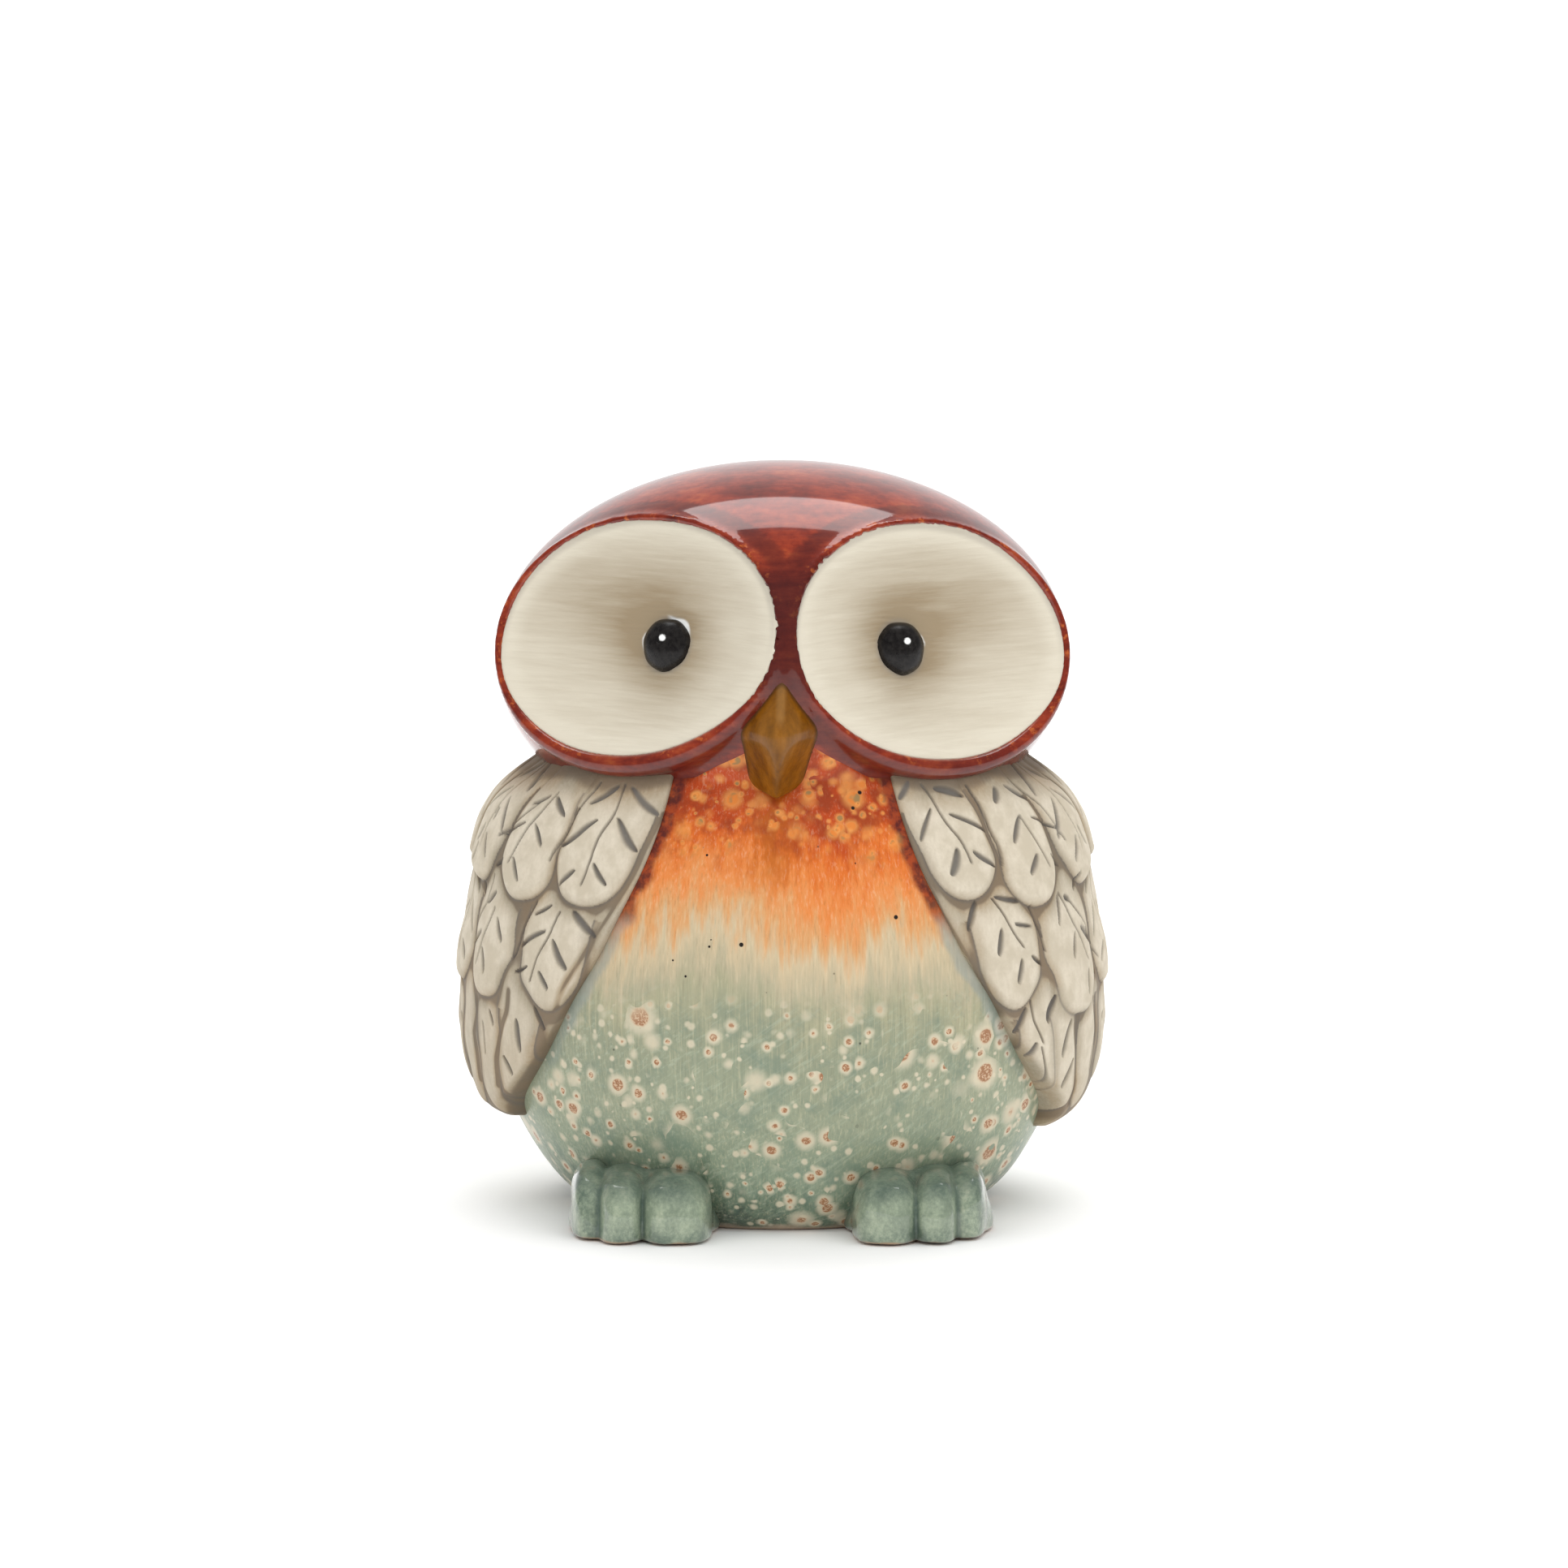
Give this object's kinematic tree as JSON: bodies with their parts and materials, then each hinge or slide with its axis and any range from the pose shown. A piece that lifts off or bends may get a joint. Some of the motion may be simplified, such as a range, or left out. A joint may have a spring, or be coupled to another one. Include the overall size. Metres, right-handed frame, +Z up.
{
  "type": "coin bank",
  "caption": "Glazed ceramic owl coin bank: egg-shaped head with two large dished eyes and a small beak, round belly, feathered wings, toed feet, coin slot in the back of the head and a rubber stopper in the base",
  "frame": {"origin": "Centre of the bounding box's bottom face, on the surface the owl stands on", "axes": "+Z is up; the owl faces -Y; +X is to the right as seen from the front, and the YZ plane is the owl's plane of symmetry apart from small differences between the eyes"},
  "size_m": [0.1412, 0.112, 0.1595],
  "materials": {
    "belly_glaze": "orange to sage green reactive glaze with cream spots",
    "head_glaze": "glossy red-brown glaze",
    "eye_paint": "matte cream paint with a taupe wash",
    "pupil_paint": "satin black paint",
    "beak_glaze": "glossy ochre glaze",
    "wing_paint": "matte off-white paint with a brown antique wash",
    "foot_glaze": "glossy grey-green glaze",
    "stopper_rubber": "matte soft rubber"
  },
  "bodies": {
    "bank": {"torso_shell": "belly_glaze", "head_shell": "head_glaze", "left_eye_disc": "eye_paint", "right_eye_disc": "eye_paint", "left_pupil": "pupil_paint", "right_pupil": "pupil_paint", "beak": "beak_glaze", "left_wing": "wing_paint", "right_wing": "wing_paint", "left_foot": "foot_glaze", "right_foot": "foot_glaze"},
    "stopper": {"base_stopper": "stopper_rubber"}
  },
  "joints": [
    {"name": "stopper_pull", "type": "slide", "parent": "bank", "child": "stopper", "axis": [0, 0, -1], "range_m": [0, 0.025]}
  ]
}
